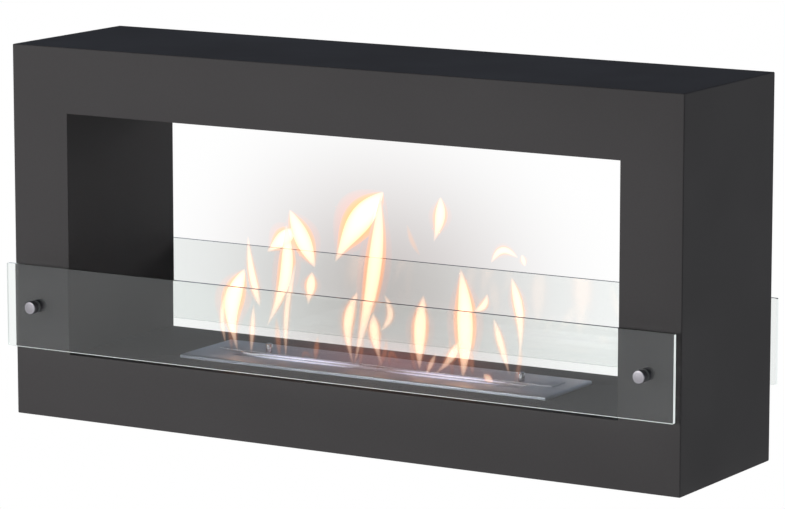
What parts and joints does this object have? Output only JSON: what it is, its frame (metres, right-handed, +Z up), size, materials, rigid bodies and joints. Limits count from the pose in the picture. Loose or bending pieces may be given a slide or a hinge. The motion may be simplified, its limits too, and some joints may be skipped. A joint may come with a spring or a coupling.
{
  "type": "free-standing see-through ethanol fireplace",
  "caption": "Rectangular steel fireplace open from front to back, with an ethanol burner on its hearth, a sliding shutter and a low guard glass on stand-offs at each side.",
  "frame": {"origin": "on the floor, under the middle of the casing", "axes": "+X to the right along the casing's width, +Y to the back, +Z up"},
  "size_m": [1, 0.31, 0.504],
  "materials": {
    "powder_coat": "matt graphite",
    "zinc_steel": "zinc plated",
    "stainless": "brushed",
    "clear_glass": "clear, ground edges",
    "silicone": "translucent",
    "foot_rubber": "matt",
    "mineral_fibre": "fibrous"
  },
  "bodies": {
    "housing": {"front_panel": "powder_coat", "rear_panel": "powder_coat", "top_panel": "powder_coat", "left_side_panel": "powder_coat", "right_side_panel": "powder_coat", "bottom_plate": "powder_coat", "tunnel_left_wall": "powder_coat", "tunnel_right_wall": "powder_coat", "tunnel_ceiling": "powder_coat", "hearth_plate": "powder_coat", "base_rails": "zinc_steel", "hearth_bearers": "zinc_steel", "lintel_stiffeners": "zinc_steel", "burner_well": "zinc_steel", "insulation_boards": "mineral_fibre", "bottom_screws": "zinc_steel", "rubber_feet": "foot_rubber", "foot_screws": "zinc_steel", "weld_nuts": "zinc_steel", "standoff_barrels": "stainless", "seat_washers": "silicone", "glass_sleeves": "silicone", "front_glass": "clear_glass", "rear_glass": "clear_glass"},
    "burner": {"burner_plate": "stainless", "fuel_tank": "stainless", "tank_ribs": "stainless", "ceramic_absorbers": "mineral_fibre", "safety_tray": "stainless"},
    "shutter": {"shutter": "stainless", "shutter_knobs": "stainless", "knob_screws": "zinc_steel", "guide_pins": "zinc_steel"},
    "washer_front_left": {"cap_washer_front_left": "silicone"},
    "cap_front_left": {"cap_front_left": "stainless", "cap_stud_front_left": "zinc_steel"},
    "washer_front_right": {"cap_washer_front_right": "silicone"},
    "cap_front_right": {"cap_front_right": "stainless", "cap_stud_front_right": "zinc_steel"},
    "washer_rear_left": {"cap_washer_rear_left": "silicone"},
    "cap_rear_left": {"cap_rear_left": "stainless", "cap_stud_rear_left": "zinc_steel"},
    "washer_rear_right": {"cap_washer_rear_right": "silicone"},
    "cap_rear_right": {"cap_rear_right": "stainless", "cap_stud_rear_right": "zinc_steel"}
  },
  "joints": [
    {"name": "burner_lift", "type": "slide", "parent": "housing", "child": "burner", "axis": [0, 0, 1], "range_m": [0, 0.21]},
    {"name": "shutter_slide", "type": "slide", "parent": "burner", "child": "shutter", "axis": [0, -1, 0], "range_m": [0, 0.028]},
    {"name": "cap_travel_front_left", "type": "slide", "parent": "housing", "child": "washer_front_left", "axis": [0, -1, 0], "range_m": [0, 0.012]},
    {"name": "cap_turn_front_left", "type": "hinge", "parent": "washer_front_left", "child": "cap_front_left", "pos_m": [-0.4565, -0.14, 0.156], "axis": [0, -1, 0], "range_deg": [0, 4320]},
    {"name": "cap_travel_front_right", "type": "slide", "parent": "housing", "child": "washer_front_right", "axis": [0, -1, 0], "range_m": [0, 0.012]},
    {"name": "cap_turn_front_right", "type": "hinge", "parent": "washer_front_right", "child": "cap_front_right", "pos_m": [0.4565, -0.14, 0.156], "axis": [0, -1, 0], "range_deg": [0, 4320]},
    {"name": "cap_travel_rear_left", "type": "slide", "parent": "housing", "child": "washer_rear_left", "axis": [0, 1, 0], "range_m": [0, 0.012]},
    {"name": "cap_turn_rear_left", "type": "hinge", "parent": "washer_rear_left", "child": "cap_rear_left", "pos_m": [-0.4565, 0.14, 0.156], "axis": [0, 1, 0], "range_deg": [0, 4320]},
    {"name": "cap_travel_rear_right", "type": "slide", "parent": "housing", "child": "washer_rear_right", "axis": [0, 1, 0], "range_m": [0, 0.012]},
    {"name": "cap_turn_rear_right", "type": "hinge", "parent": "washer_rear_right", "child": "cap_rear_right", "pos_m": [0.4565, 0.14, 0.156], "axis": [0, 1, 0], "range_deg": [0, 4320]}
  ],
  "couplings": [
    {"joint": "cap_travel_front_left", "follows": "cap_turn_front_left", "m_per_rad": 0.00015915},
    {"joint": "cap_travel_front_right", "follows": "cap_turn_front_right", "m_per_rad": 0.00015915},
    {"joint": "cap_travel_rear_left", "follows": "cap_turn_rear_left", "m_per_rad": 0.00015915},
    {"joint": "cap_travel_rear_right", "follows": "cap_turn_rear_right", "m_per_rad": 0.00015915}
  ]
}
